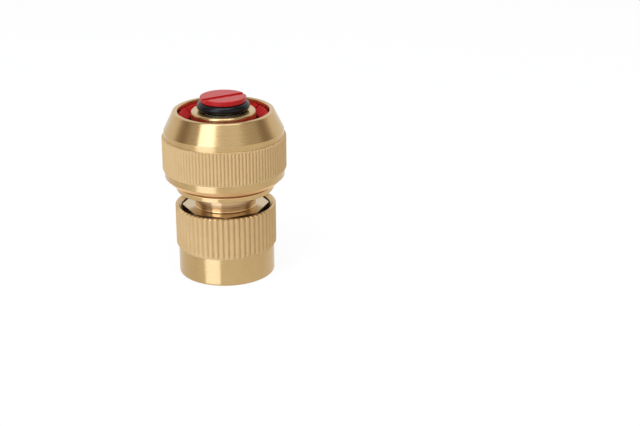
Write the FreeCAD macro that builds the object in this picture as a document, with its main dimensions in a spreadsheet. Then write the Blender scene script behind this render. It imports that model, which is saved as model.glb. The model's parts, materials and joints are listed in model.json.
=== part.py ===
import FreeCAD, Part
import math
import os
import Sketcher

# Brass garden-hose quick coupling with a water stop. Millimetres, +Z up, origin on the axis at
# the foot of the hose nut. The male plug enters from above and the hose from below.

SIZES = [
    # hose nut
    ("nut_wall", 1.53),
    ("nut_knurl_proud", 0.63),
    ("nut_plain_length", 7.7),
    ("nut_shoulder_length", 0.9),
    ("nut_foot_round", 0.4),
    ("nut_rim_round", 0.3),
    ("nut_mouth_gap", 0.4),
    ("nut_mouth_relief", 0.7),
    ("nut_mouth_chamfer", 0.8),
    ("nut_entry_step", 1.05),
    ("nut_entry_length", 2.2),
    ("nut_cone_length", 4.3),
    ("nut_teeth", 58),
    ("nut_tooth_depth", 0.5),
    ("nut_groove_width", 0.95),
    # tail with its octagon, threads and barbed spigot
    ("octagon_proud", 1.05),
    ("octagon_sides", 8),
    ("octagon_thickness", 3.5),
    ("octagon_drop", 0.3),
    ("hose_thread_radius", 10.95),
    ("hose_thread_length", 6.5),
    ("thread_clearance", 0.05),
    ("cup_wall", 1.25),
    ("cup_depth", 3.0),
    ("neck_shoulder", 0.85),
    ("neck_length", 4.75),
    ("neck_fillet", 0.35),
    ("stub_step", 1.31),
    ("stub_wall", 2.65),
    ("stub_length", 3.95),
    ("spigot_wall", 1.2),
    ("spigot_lift", 0.9),
    ("barb_proud", 0.65),
    ("barb_count", 3),
    ("barb_pitch", 2.6),
    ("barb_land", 0.3),
    ("barb_slope_length", 1.7),
    ("barb_tip_step", 0.1),
    # ring that grips the hose
    ("grip_clearance", 0.15),
    ("grip_gap", 0.3),
    ("grip_wall", 1.55),
    ("grip_straight_length", 2.7),
    ("grip_ring_height", 1.6),
    ("grip_lift", 2.9),
    ("grip_fingers", 8),
    ("grip_slot_width", 1.0),
    ("grip_rib_height", 0.35),
    ("grip_rib_count", 3),
    ("grip_rib_pitch", 1.3),
    # head
    ("bead_proud", 0.8),
    ("bead_height", 1.5),
    ("bead_round", 0.3),
    ("recess_step", 0.1),
    ("recess_height", 5.45),
    ("land_height", 2.3),
    ("barrel_wall", 0.9),
    ("barrel_height", 4.0),
    ("claw_channel", 1.85),
    ("inner_barrel_wall", 1.01),
    ("claw_floor_thickness", 2.0),
    ("clip_wire_radius", 0.35),
    ("clip_bite", 0.35),
    ("sliding_clearance", 0.08),
    # anchor of the valve stem
    ("joint_seal_thickness", 0.8),
    ("joint_seal_step", 0.4),
    ("small_clearance", 0.05),
    ("spider_thickness", 1.5),
    ("spider_window_step", 0.6),
    ("spider_hub_radius", 2.6),
    ("spider_arm_width", 1.6),
    ("spider_arms", 3),
    ("stem_radius", 2.0),
    ("stem_thread_radius", 1.5),
    ("stem_tail", 3.0),
    ("stem_nut_flats", 5.5),
    ("stem_nut_sides", 6),
    ("stem_nut_height", 2.4),
    # sleeve, the centre tube
    ("sleeve_radius", 8.86),
    ("sleeve_wall", 2.36),
    ("sleeve_length", 8.95),
    ("sleeve_drop", 0.05),
    ("sleeve_rim_round", 0.45),
    ("sleeve_groove_depth", 1.5),
    ("sleeve_groove_height", 1.9),
    ("sleeve_groove_lift", 1.2),
    ("sleeve_ring_section", 0.72),
    ("sleeve_spring_wire", 0.45),
    ("sleeve_spring_pitch", 2.03),
    # valve cap and its O-ring
    ("ring_seat_step", 0.595),
    ("ring_section_radius", 1.31),
    ("seat_gap", 0.08),
    ("cap_overlap", 0.395),
    ("cap_height", 1.3),
    ("cap_round", 0.25),
    ("cap_hub_clearance", 0.04),
    ("cap_slot_width", 1.9),
    ("cap_slot_depth", 0.35),
    ("cap_slot_angle", 28),
    ("cap_slot_offset", 0.7),
    ("cap_thread_depth", 3.2),
    ("valve_washer_step", 0.605),
    ("valve_washer_thickness", 1.0),
    ("valve_washer_chamfer", 0.5),
    # claw ring
    ("claw_count", 12),
    ("claw_slot_width", 0.5),
    ("claw_slot_angle", 3),
    ("claw_clearance", 0.1),
    ("claw_base_height", 4.2),
    ("claw_web_height", 2.0),
    ("claw_top_drop", 0.9),
    ("claw_head_height", 3.7),
    ("claw_head_bevel", 0.3),
    ("claw_collar_gap", 0.3),
    ("claw_hook_proud", 0.7),
    ("claw_hook_height", 2.4),
    ("claw_hook_lead", 1.75),
    ("claw_hook_gap", 1.0),
    ("claw_neck_slope", 0.8),
    ("claw_inside_step", 0.3),
    # collar
    ("collar_rise", 2.45),
    ("collar_length", 19.8),
    ("collar_foot_wall", 2.07),
    ("collar_foot_bevel", 1.47),
    ("collar_foot_length", 3.25),
    ("collar_knurl_proud", 0.53),
    ("collar_knurl_start", 3.75),
    ("collar_knurl_end", 12.6),
    ("collar_step_height", 0.15),
    ("collar_cone_start", 14.4),
    ("collar_cone_step", 0.6),
    ("collar_rim_wall", 1.25),
    ("collar_rim_round", 0.4),
    ("collar_edge_round", 0.25),
    ("collar_mouth_step", 0.2),
    ("collar_mouth_depth", 5.5),
    ("collar_channel", 1.7),
    ("collar_teeth", 108),
    ("collar_tooth_depth", 0.35),
    ("collar_groove_width", 0.6),
    ("spring_seat_thickness", 0.6),
    ("collar_spring_wire", 0.5),
    ("collar_spring_pitch", 1.69),
    ("snap_wire_radius", 0.4),
    ("snap_bite", 0.35),
    ("snap_gap", 0.3),
    ("wire_ring_angle", 340),
]

# Heights and radii that follow from the sizes above.
DERIVED = [
    ("zero", "0"),
    ("octagon_radius", "hose_thread_radius + octagon_proud"),
    ("nut_mouth_radius", "octagon_radius + nut_mouth_gap"),
    ("nut_knurl_radius", "nut_mouth_radius + nut_wall"),
    ("nut_plain_radius", "nut_knurl_radius - nut_knurl_proud"),
    ("nut_mouth_edge_radius", "nut_mouth_radius + nut_mouth_chamfer"),
    ("nut_entry_radius", "hose_thread_radius - nut_entry_step"),
    ("nut_length", "nut_cone_z + grip_straight_length + grip_gap + hose_thread_length"
     " + octagon_thickness + octagon_drop"),
    ("cup_radius", "hose_thread_radius - cup_wall"),
    ("stub_radius", "sleeve_radius - stub_step"),
    ("neck_radius", "stub_radius + neck_shoulder"),
    ("water_bore_radius", "stub_radius - stub_wall"),
    ("spigot_radius", "water_bore_radius + spigot_wall"),
    ("barb_radius", "spigot_radius + barb_proud"),
    ("barb_tip_radius", "spigot_radius - barb_tip_step"),
    ("inner_barrel_radius", "sleeve_guide_radius + inner_barrel_wall"),
    ("barrel_bore_radius", "inner_barrel_radius + claw_channel"),
    ("barrel_radius", "barrel_bore_radius + barrel_wall"),
    ("recess_radius", "barrel_radius - recess_step"),
    ("bead_radius", "barrel_radius + bead_proud"),
    ("joint_seal_bore", "water_bore_radius + joint_seal_step"),
    ("spider_window_radius", "water_bore_radius + spider_window_step"),
    ("sleeve_bore_radius", "sleeve_radius - sleeve_wall"),
    ("sleeve_spring_radius", "sleeve_radius - sleeve_wall / 2"),
    ("ring_mean_radius", "sleeve_bore_radius - ring_seat_step"),
    ("cap_radius", "ring_mean_radius + cap_overlap"),
    ("valve_washer_radius", "ring_mean_radius - valve_washer_step"),
    ("collar_bore_radius", "barrel_radius + collar_channel"),
    ("collar_foot_radius", "collar_bore_radius + collar_foot_wall"),
    ("collar_knurl_radius", "collar_foot_radius + collar_knurl_proud"),
    ("collar_cone_radius", "collar_knurl_radius - collar_cone_step"),
    ("collar_mouth_radius", "barrel_radius - collar_mouth_step"),
    ("collar_rim_radius", "collar_mouth_radius + collar_rim_wall"),
    ("nut_root_radius", "nut_knurl_radius - nut_tooth_depth"),
    ("nut_groove_outer", "nut_knurl_radius + small_clearance"),
    ("collar_root_radius", "collar_knurl_radius - collar_tooth_depth"),
    ("collar_groove_outer", "collar_knurl_radius + small_clearance"),
    ("barb_foot_radius", "water_bore_radius + (spigot_radius - water_bore_radius) / 2"),
    ("barb_edge_z", "spigot_lift + barb_slope_length"),
    ("barb_land_z", "barb_edge_z + barb_land"),
    ("barb_span", "barb_pitch * (barb_count - 1)"),
    ("grip_rib_root", "grip_bore_radius + grip_rib_height"),
    ("grip_rib_base_z", "grip_lift + grip_rib_height"),
    ("grip_rib_top_z", "grip_rib_base_z + 2 * grip_rib_height"),
    ("grip_rib_span", "grip_rib_pitch * (grip_rib_count - 1)"),
    ("spider_arm_reach", "spider_window_radius + small_clearance"),
    ("clip_groove_inner", "barrel_bore_radius - small_clearance"),
    ("snap_groove_inner", "collar_bore_radius - small_clearance"),
    ("ring_outer_radius", "ring_mean_radius + ring_section_radius"),
    ("cap_slot_near", "cap_slot_width / 2 + cap_slot_offset"),
    ("cap_slot_far", "cap_slot_width / 2 - cap_slot_offset"),
    ("sleeve_spring_start_z", "spider_top_z + sleeve_spring_wire"),
    ("sleeve_spring_rise", "sleeve_spring_length - 2 * sleeve_spring_wire"),
    ("sleeve_spring_turns", "sleeve_spring_rise / sleeve_spring_pitch"),
    ("collar_spring_start_z", "land_top_z + collar_spring_wire"),
    ("collar_spring_rise", "collar_spring_length - 2 * collar_spring_wire"),
    ("collar_spring_turns", "collar_spring_rise / collar_spring_pitch"),
    ("grip_cone_z", "nut_cone_z"),
    ("nut_shoulder_z", "nut_plain_length + nut_shoulder_length"),
    ("nut_mouth_z", "octagon_base_z - nut_mouth_relief"),
    ("nut_chamfer_z", "nut_length - nut_mouth_chamfer"),
    ("nut_cone_z", "nut_entry_length + nut_cone_length"),
    ("nut_thread_radius", "hose_thread_radius + thread_clearance"),
    ("octagon_top_z", "nut_length - octagon_drop"),
    ("octagon_base_z", "octagon_top_z - octagon_thickness"),
    ("hose_thread_base_z", "octagon_base_z - hose_thread_length"),
    ("cup_top_z", "hose_thread_base_z + cup_depth"),
    ("head_base_z", "octagon_top_z + neck_length"),
    ("stub_top_z", "head_base_z + stub_length"),
    ("grip_top_z", "hose_thread_base_z - grip_gap"),
    ("grip_web_z", "grip_top_z - grip_ring_height"),
    ("grip_top_radius", "nut_thread_radius - grip_clearance"),
    ("grip_bore_radius", "grip_top_radius - grip_wall"),
    ("grip_foot_radius", "nut_entry_radius - grip_clearance"
     " + (grip_lift - nut_entry_length) * (nut_thread_radius - nut_entry_radius) / nut_cone_length"),
    ("grip_rib_radius", "grip_bore_radius - grip_rib_height"),
    ("head_thread_radius", "stub_radius + small_clearance"),
    ("bead_top_z", "head_base_z + bead_height"),
    ("land_base_z", "bead_top_z + recess_height"),
    ("land_top_z", "land_base_z + land_height"),
    ("land_radius", "collar_bore_radius - sliding_clearance"),
    ("barrel_top_z", "land_top_z + barrel_height"),
    ("spider_base_z", "stub_top_z + joint_seal_thickness"),
    ("spider_top_z", "spider_base_z + spider_thickness"),
    ("sleeve_guide_radius", "sleeve_radius + sliding_clearance"),
    ("spider_radius", "sleeve_guide_radius - small_clearance"),
    ("claw_floor_z", "spider_base_z + claw_floor_thickness"),
    ("inner_barrel_top_z", "claw_hook_foot_z - claw_hook_gap"),
    ("sleeve_top_z", "collar_top_z - sleeve_drop"),
    ("sleeve_base_z", "sleeve_top_z - sleeve_length"),
    ("sleeve_spring_length", "sleeve_base_z - spider_top_z"),
    ("sleeve_groove_base_z", "sleeve_base_z + sleeve_groove_lift"),
    ("sleeve_groove_top_z", "sleeve_groove_base_z + sleeve_groove_height"),
    ("sleeve_groove_radius", "sleeve_radius - sleeve_groove_depth"),
    ("sleeve_ring_z", "sleeve_groove_base_z + sleeve_groove_height / 2"),
    ("sleeve_ring_radius", "sleeve_radius - sleeve_ring_section"),
    ("ring_z", "sleeve_top_z + sqrt((ring_section_radius + seat_gap)^2"
     " - (sleeve_bore_radius - ring_mean_radius)^2)"),
    ("cap_base_z", "ring_z + ring_section_radius + cap_hub_clearance / 2"),
    ("cap_top_z", "cap_base_z + cap_height"),
    ("cap_hub_radius", "ring_mean_radius - ring_section_radius - cap_hub_clearance"),
    ("cap_hub_z", "ring_z - ring_section_radius - cap_hub_clearance / 2"),
    ("cap_thread_top_z", "cap_hub_z + cap_thread_depth"),
    ("cap_slot_z", "cap_top_z - cap_slot_depth"),
    ("thread_hole_radius", "stem_thread_radius + small_clearance"),
    ("washer_base_z", "cap_hub_z - valve_washer_thickness"),
    ("washer_chamfer_z", "cap_hub_z - valve_washer_chamfer"),
    ("washer_foot_radius", "valve_washer_radius - valve_washer_chamfer"),
    ("stem_base_z", "spider_base_z - stem_tail"),
    ("stem_top_z", "cap_thread_top_z - small_clearance"),
    ("stem_nut_base_z", "spider_base_z - stem_nut_height"),
    ("stem_nut_radius", "stem_nut_flats / sqrt(3)"),
    ("claw_base_radius", "barrel_bore_radius - claw_clearance"),
    ("claw_bore_radius", "inner_barrel_radius + claw_clearance"),
    ("claw_inside_radius", "claw_bore_radius + claw_inside_step"),
    ("claw_hook_radius", "claw_inside_radius - claw_hook_proud"),
    ("claw_step_z", "claw_floor_z + claw_base_height"),
    ("claw_slot_z", "claw_floor_z + claw_web_height"),
    ("claw_finger_radius", "barrel_bore_radius + clip_bite - 2 * clip_wire_radius - claw_clearance"),
    ("claw_top_z", "collar_top_z - claw_top_drop"),
    ("claw_head_z", "claw_top_z - claw_head_height"),
    ("claw_head_radius", "collar_mouth_radius - claw_collar_gap"),
    ("claw_neck_z", "claw_head_z - claw_neck_slope"),
    ("claw_bevel_z", "claw_top_z - claw_head_bevel"),
    ("claw_bevel_radius", "claw_head_radius - claw_head_bevel"),
    ("claw_lead_z", "claw_top_z - claw_hook_lead"),
    ("claw_lead_radius", "claw_hook_radius + claw_hook_lead"),
    ("claw_hook_z", "claw_top_z - claw_hook_height"),
    ("claw_hook_foot_z", "claw_hook_z - claw_inside_radius + claw_hook_radius"),
    ("clip_z", "claw_step_z + clip_wire_radius"),
    ("clip_radius", "barrel_bore_radius + clip_bite - clip_wire_radius"),
    ("clip_groove_radius", "barrel_bore_radius + clip_bite + small_clearance"),
    ("clip_groove_base_z", "claw_step_z - small_clearance"),
    ("clip_groove_top_z", "claw_step_z + 2 * clip_wire_radius + small_clearance"),
    ("collar_base_z", "head_base_z + collar_rise"),
    ("collar_top_z", "collar_base_z + collar_length"),
    ("collar_foot_edge_radius", "collar_foot_radius - collar_foot_bevel"),
    ("collar_bevel_z", "collar_base_z + collar_foot_bevel"),
    ("collar_foot_z", "collar_base_z + collar_foot_length"),
    ("collar_knurl_base_z", "collar_base_z + collar_knurl_start"),
    ("collar_knurl_top_z", "collar_base_z + collar_knurl_end"),
    ("collar_step_z", "collar_knurl_top_z + collar_step_height"),
    ("collar_cone_z", "collar_base_z + collar_cone_start"),
    ("collar_mouth_z", "collar_top_z - collar_mouth_depth"),
    ("spring_seat_z", "collar_mouth_z - spring_seat_thickness"),
    ("spring_seat_bore", "barrel_radius + claw_collar_gap"),
    ("spring_seat_radius", "collar_bore_radius - claw_clearance"),
    ("collar_spring_radius", "(spring_seat_bore + spring_seat_radius) / 2"),
    ("collar_spring_length", "spring_seat_z - land_top_z"),
    ("snap_z", "land_base_z - snap_gap - snap_wire_radius"),
    ("snap_radius", "collar_bore_radius + snap_bite - snap_wire_radius"),
    ("snap_groove_radius", "collar_bore_radius + snap_bite + small_clearance"),
    ("snap_groove_base_z", "snap_z - snap_wire_radius - small_clearance"),
    ("snap_groove_top_z", "snap_z + snap_wire_radius + small_clearance"),
    ("joint_seal_radius", "head_thread_radius - small_clearance"),
]

doc = FreeCAD.newDocument("quick_coupling")
sheet = doc.addObject("Spreadsheet::Sheet", "sizes")


def fill_sheet():
    # every name comes before the first formula, so that a formula may use a name from further down
    rows = SIZES + [(name, "=" + formula) for name, formula in DERIVED]
    for row, (name, _) in enumerate(rows, start=1):
        sheet.set(f"A{row}", name)
        sheet.set(f"B{row}", "0")
        sheet.setAlias(f"B{row}", name)
    for row, (_, content) in enumerate(rows, start=1):
        sheet.set(f"B{row}", str(content))
    doc.recompute()


def size(name):
    return float(sheet.get(name))


def bind(target, prop, name):
    target.setExpression(prop, "sizes." + name)


def new_body(label):
    body = doc.addObject("PartDesign::Body", label)
    body.Label = label
    return body


def new_sketch(body, plane, name, lift=None):
    # A sketch on one of the body's own origin planes, lifted along the plane's normal if asked.
    origin_plane = [f for f in body.Origin.OriginFeatures if f.Role == plane][0]
    sketch = body.newObject("Sketcher::SketchObject", name)
    sketch.AttachmentSupport = [(origin_plane, "")]
    sketch.MapMode = "FlatFace"
    if lift:
        bind(sketch, "AttachmentOffset.Base.z", lift)
    return sketch


def constrain(sketch, kind, *values):
    return sketch.addConstraint(Sketcher.Constraint(kind, *values))


def hold_point(sketch, line, x_name, y_name):
    # Holds the start of a line at two named distances from the sketch's origin.
    for kind, name, axis in (("DistanceX", x_name, -2), ("DistanceY", y_name, -1)):
        if size(name) == 0:
            constrain(sketch, "PointOnObject", line, 1, axis)
        else:
            index = constrain(sketch, kind, -1, 1, line, 1, size(name))
            bind(sketch, f"Constraints[{index}]", name)


def profile_sketch(body, name, points):
    # A closed outline in the XZ plane: each point is a pair of size names, radius and height.
    sketch = new_sketch(body, "XZ_Plane", name)
    places = [FreeCAD.Vector(size(r), size(z), 0) for r, z in points]
    count = len(points)
    for i in range(count):
        sketch.addGeometry(Part.LineSegment(places[i], places[(i + 1) % count]), False)
    for i in range(count):
        constrain(sketch, "Coincident", i, 2, (i + 1) % count, 1)
    for i, (r, z) in enumerate(points):
        hold_point(sketch, i, r, z)
    return sketch


def turned(body, name, points):
    # A turned form: the outline spun about the Z axis.
    sketch = profile_sketch(body, name + "_outline", points)
    feature = body.newObject("PartDesign::Revolution", name + "_turned")
    feature.Profile = sketch
    feature.ReferenceAxis = (sketch, ["V_Axis"])
    feature.Angle = 360
    doc.recompute()
    return feature


def grooved(body, name, points):
    # A turned groove: the outline spun about the Z axis and taken away.
    sketch = profile_sketch(body, name + "_outline", points)
    feature = body.newObject("PartDesign::Groove", name + "_groove")
    feature.Profile = sketch
    feature.ReferenceAxis = (sketch, ["V_Axis"])
    feature.Angle = 360
    doc.recompute()
    return feature


def circles_at(feature, radius_name, height_name):
    # Names of the circular edges at a named radius and height.
    found = []
    for i, edge in enumerate(feature.Shape.Edges):
        curve = edge.Curve
        if not isinstance(curve, Part.Circle):
            continue
        near_radius = abs(curve.Radius - size(radius_name)) < 1e-4
        near_height = abs(curve.Center.z - size(height_name)) < 1e-4
        if near_radius and near_height:
            found.append(f"Edge{i + 1}")
    return found


def rounded(body, name, feature, rings, radius_name):
    edges = []
    for radius, height in rings:
        edges += circles_at(feature, radius, height)
    fillet = body.newObject("PartDesign::Fillet", name + "_round")
    fillet.Base = (feature, edges)
    bind(fillet, "Radius", radius_name)
    doc.recompute()
    return fillet


def polygon_sketch(body, name, plane_lift, corner_name, sides_name):
    # A regular polygon about the origin with its first corner on the X axis.
    sketch = new_sketch(body, "XY_Plane", name, plane_lift)
    radius = size(corner_name)
    sides = int(size(sides_name))
    corners = [FreeCAD.Vector(radius * math.cos(2 * math.pi * i / sides),
                              radius * math.sin(2 * math.pi * i / sides), 0) for i in range(sides)]
    for i in range(sides):
        sketch.addGeometry(Part.LineSegment(corners[i], corners[(i + 1) % sides]), False)
    circle = sketch.addGeometry(Part.Circle(FreeCAD.Vector(0, 0, 0), FreeCAD.Vector(0, 0, 1), radius), True)
    constrain(sketch, "Coincident", circle, 3, -1, 1)
    index = constrain(sketch, "Radius", circle, radius)
    bind(sketch, f"Constraints[{index}]", corner_name)
    for i in range(sides):
        constrain(sketch, "Coincident", i, 2, (i + 1) % sides, 1)
        constrain(sketch, "PointOnObject", i, 1, circle)
    for i in range(1, sides):
        constrain(sketch, "Equal", 0, i)
    constrain(sketch, "PointOnObject", 0, 1, -1)
    return sketch


def rectangle_sketch(body, name, lift, inner_name, outer_name, width_name):
    # A rectangle along the X axis, centred on it, from one named radius to another.
    sketch = new_sketch(body, "XY_Plane", name, lift)
    inner, outer, half = size(inner_name), size(outer_name), size(width_name) / 2
    corners = [(inner, -half), (outer, -half), (outer, half), (inner, half)]
    for i in range(4):
        start = FreeCAD.Vector(*corners[i], 0)
        end = FreeCAD.Vector(*corners[(i + 1) % 4], 0)
        sketch.addGeometry(Part.LineSegment(start, end), False)
    for i in range(4):
        constrain(sketch, "Coincident", i, 2, (i + 1) % 4, 1)
    constrain(sketch, "Horizontal", 0)
    constrain(sketch, "Horizontal", 2)
    constrain(sketch, "Vertical", 3)
    constrain(sketch, "Symmetric", 1, 1, 1, 2, -1)
    index = constrain(sketch, "DistanceX", -1, 1, 0, 1, inner)
    bind(sketch, f"Constraints[{index}]", inner_name)
    index = constrain(sketch, "DistanceX", -1, 1, 1, 1, outer)
    bind(sketch, f"Constraints[{index}]", outer_name)
    index = constrain(sketch, "DistanceY", 1, 1, 1, 2, 2 * half)
    bind(sketch, f"Constraints[{index}]", width_name)
    return sketch


def slot_sketch(body, name, lift, reach_name, near_name, far_name):
    # A bar across the axis, as long to both sides, from one named distance before it to one behind.
    sketch = new_sketch(body, "XY_Plane", name, lift)
    reach, near, far = size(reach_name), size(near_name), size(far_name)
    corners = [(-reach, -near), (reach, -near), (reach, far), (-reach, far)]
    for i in range(4):
        start = FreeCAD.Vector(*corners[i], 0)
        end = FreeCAD.Vector(*corners[(i + 1) % 4], 0)
        sketch.addGeometry(Part.LineSegment(start, end), False)
    for i in range(4):
        constrain(sketch, "Coincident", i, 2, (i + 1) % 4, 1)
    constrain(sketch, "Vertical", 1)
    constrain(sketch, "Horizontal", 2)
    constrain(sketch, "Vertical", 3)
    constrain(sketch, "Symmetric", 0, 1, 0, 2, -2)
    for kind, first, second, value in (("DistanceX", (-1, 1), (1, 1), reach_name),
                                       ("DistanceY", (1, 1), (-1, 1), near_name),
                                       ("DistanceY", (-1, 1), (2, 1), far_name)):
        index = constrain(sketch, kind, *first, *second, size(value))
        bind(sketch, f"Constraints[{index}]", value)
    return sketch


def groove_sketch(body, name, root_name, outer_name, width_name):
    # A knurl groove seen along Z: a triangle on the X axis, its point at the root radius and
    # its open side past the outer radius.
    sketch = new_sketch(body, "XY_Plane", name)
    root, outer, half = size(root_name), size(outer_name), size(width_name) / 2
    corners = [(root, 0), (outer, -half), (outer, half)]
    for i in range(3):
        start = FreeCAD.Vector(*corners[i], 0)
        end = FreeCAD.Vector(*corners[(i + 1) % 3], 0)
        sketch.addGeometry(Part.LineSegment(start, end), False)
    for i in range(3):
        constrain(sketch, "Coincident", i, 2, (i + 1) % 3, 1)
    constrain(sketch, "PointOnObject", 0, 1, -1)
    constrain(sketch, "Symmetric", 1, 1, 1, 2, -1)
    index = constrain(sketch, "DistanceX", -1, 1, 0, 1, root)
    bind(sketch, f"Constraints[{index}]", root_name)
    index = constrain(sketch, "DistanceX", -1, 1, 1, 1, outer)
    bind(sketch, f"Constraints[{index}]", outer_name)
    index = constrain(sketch, "DistanceY", 1, 1, 1, 2, 2 * half)
    bind(sketch, f"Constraints[{index}]", width_name)
    return sketch


def cut_upwards(body, name, sketch):
    # A pocket from the sketch up through everything above it.
    before = body.Tip.Shape.Volume
    pocket = body.newObject("PartDesign::Pocket", name)
    pocket.Profile = sketch
    pocket.Type = 1
    pocket.Reversed = True
    doc.recompute()
    if pocket.Shape.Volume >= before:
        raise RuntimeError(name + " cuts nothing")
    return pocket


def repeated(body, name, feature, count_name):
    # The feature repeated evenly about the Z axis.
    pattern = body.newObject("PartDesign::PolarPattern", name)
    pattern.Originals = [feature]
    pattern.Axis = (feature.Profile[0], ["N_Axis"])
    pattern.Angle = 360
    pattern.Occurrences = int(size(count_name))
    bind(pattern, "Occurrences", count_name)
    body.Tip = pattern
    doc.recompute()
    return pattern


def knurled(body, label, root, outer, width, teeth):
    sketch = groove_sketch(body, label + "_groove_outline", root, outer, width)
    groove = cut_upwards(body, label + "_groove", sketch)
    return repeated(body, label + "_knurl", groove, teeth)


def bored(body, name, radius_name, lift=None):
    # A round hole on the axis from the sketch's height up through everything.
    sketch = new_sketch(body, "XY_Plane", name + "_outline", lift)
    middle = FreeCAD.Vector(0, 0, 0)
    circle = sketch.addGeometry(Part.Circle(middle, FreeCAD.Vector(0, 0, 1), size(radius_name)), False)
    constrain(sketch, "Coincident", circle, 3, -1, 1)
    index = constrain(sketch, "Radius", circle, size(radius_name))
    bind(sketch, f"Constraints[{index}]", radius_name)
    return cut_upwards(body, name, sketch)


def padded(body, name, sketch, length_name):
    pad = body.newObject("PartDesign::Pad", name)
    pad.Profile = sketch
    bind(pad, "Length", length_name)
    doc.recompute()
    return pad


def stacked(body, name, feature, span_name, count_name):
    # The feature repeated up the Z axis.
    pattern = body.newObject("PartDesign::LinearPattern", name)
    pattern.Originals = [feature]
    pattern.Direction = (feature.Profile[0], ["V_Axis"])
    bind(pattern, "Length", span_name)
    pattern.Occurrences = int(size(count_name))
    bind(pattern, "Occurrences", count_name)
    body.Tip = pattern
    doc.recompute()
    return pattern


def flat_ring(label, bore_name, radius_name, base_name, thickness_name):
    # A plain washer: one cylinder cut by another.
    cylinders = []
    for part, name in (("outside", radius_name), ("bore", bore_name)):
        cylinder = doc.addObject("Part::Cylinder", f"{label}_{part}")
        bind(cylinder, "Radius", name)
        bind(cylinder, "Height", thickness_name)
        bind(cylinder, "Placement.Base.z", base_name)
        cylinders.append(cylinder)
    ring = doc.addObject("Part::Cut", label)
    ring.Label = label
    ring.Base, ring.Tool = cylinders
    return ring


def round_ring(label, mean_name, section_name, height_name):
    ring = doc.addObject("Part::Torus", label)
    ring.Label = label
    bind(ring, "Radius1", mean_name)
    bind(ring, "Radius2", section_name)
    bind(ring, "Placement.Base.z", height_name)
    return ring


def wire_circle(body, name, mean_name, wire_name, height_name):
    # The round section of a wire, in the XZ plane.
    sketch = new_sketch(body, "XZ_Plane", name)
    middle = FreeCAD.Vector(size(mean_name), size(height_name), 0)
    circle = sketch.addGeometry(Part.Circle(middle, FreeCAD.Vector(0, 0, 1), size(wire_name)), False)
    for kind, value in (("DistanceX", mean_name), ("DistanceY", height_name)):
        index = constrain(sketch, kind, -1, 1, circle, 3, size(value))
        bind(sketch, f"Constraints[{index}]", value)
    index = constrain(sketch, "Radius", circle, size(wire_name))
    bind(sketch, f"Constraints[{index}]", wire_name)
    return sketch


def split_wire_ring(label, mean_name, wire_name, height_name, angle_name):
    # A sprung wire ring with a gap.
    body = new_body(label)
    sketch = wire_circle(body, label + "_section", mean_name, wire_name, height_name)
    ring = body.newObject("PartDesign::Revolution", label + "_wire")
    ring.Profile = sketch
    ring.ReferenceAxis = (sketch, ["V_Axis"])
    bind(ring, "Angle", angle_name)
    doc.recompute()
    return body


def coil_spring(label, mean_name, wire_name, start_name, rise_name, turns_name):
    body = new_body(label)
    sketch = wire_circle(body, label + "_section", mean_name, wire_name, start_name)
    coil = body.newObject("PartDesign::AdditiveHelix", label + "_coil")
    coil.Profile = sketch
    coil.ReferenceAxis = (sketch, ["V_Axis"])
    coil.Mode = 2
    bind(coil, "Height", rise_name)
    bind(coil, "Turns", turns_name)
    doc.recompute()
    return body


def hose_nut():
    body = new_body("hose_nut")
    form = turned(body, "nut", [
        ("nut_entry_radius", "zero"),
        ("nut_plain_radius", "zero"),
        ("nut_plain_radius", "nut_plain_length"),
        ("nut_knurl_radius", "nut_shoulder_z"),
        ("nut_knurl_radius", "nut_length"),
        ("nut_mouth_edge_radius", "nut_length"),
        ("nut_mouth_radius", "nut_chamfer_z"),
        ("nut_mouth_radius", "nut_mouth_z"),
        ("nut_thread_radius", "nut_mouth_z"),
        ("nut_thread_radius", "nut_cone_z"),
        ("nut_entry_radius", "nut_entry_length"),
    ])
    foot = rounded(body, "nut_foot", form, [("nut_plain_radius", "zero")], "nut_foot_round")
    rounded(body, "nut_rim", foot, [("nut_knurl_radius", "nut_length")], "nut_rim_round")
    knurled(body, "nut", "nut_root_radius", "nut_groove_outer", "nut_groove_width", "nut_teeth")


def tail_body():
    body = new_body("tail_body")
    turned(body, "tail", [
        ("zero", "spigot_lift"),
        ("spigot_radius", "spigot_lift"),
        ("spigot_radius", "cup_top_z"),
        ("cup_radius", "cup_top_z"),
        ("cup_radius", "hose_thread_base_z"),
        ("hose_thread_radius", "hose_thread_base_z"),
        ("hose_thread_radius", "octagon_top_z"),
        ("neck_radius", "octagon_top_z"),
        ("neck_radius", "head_base_z"),
        ("stub_radius", "head_base_z"),
        ("stub_radius", "stub_top_z"),
        ("zero", "stub_top_z"),
    ])
    barb = turned(body, "barb", [
        ("barb_foot_radius", "spigot_lift"),
        ("barb_tip_radius", "spigot_lift"),
        ("barb_radius", "barb_edge_z"),
        ("barb_radius", "barb_land_z"),
        ("barb_foot_radius", "barb_land_z"),
    ])
    stacked(body, "barbs", barb, "barb_span", "barb_count")
    outline = polygon_sketch(body, "octagon_outline", "octagon_base_z", "octagon_radius", "octagon_sides")
    octagon = padded(body, "octagon", outline, "octagon_thickness")
    foot = [("neck_radius", "octagon_top_z")]
    rounded(body, "neck_foot", octagon, foot, "neck_fillet")
    bored(body, "water_bore", "water_bore_radius")


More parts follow.
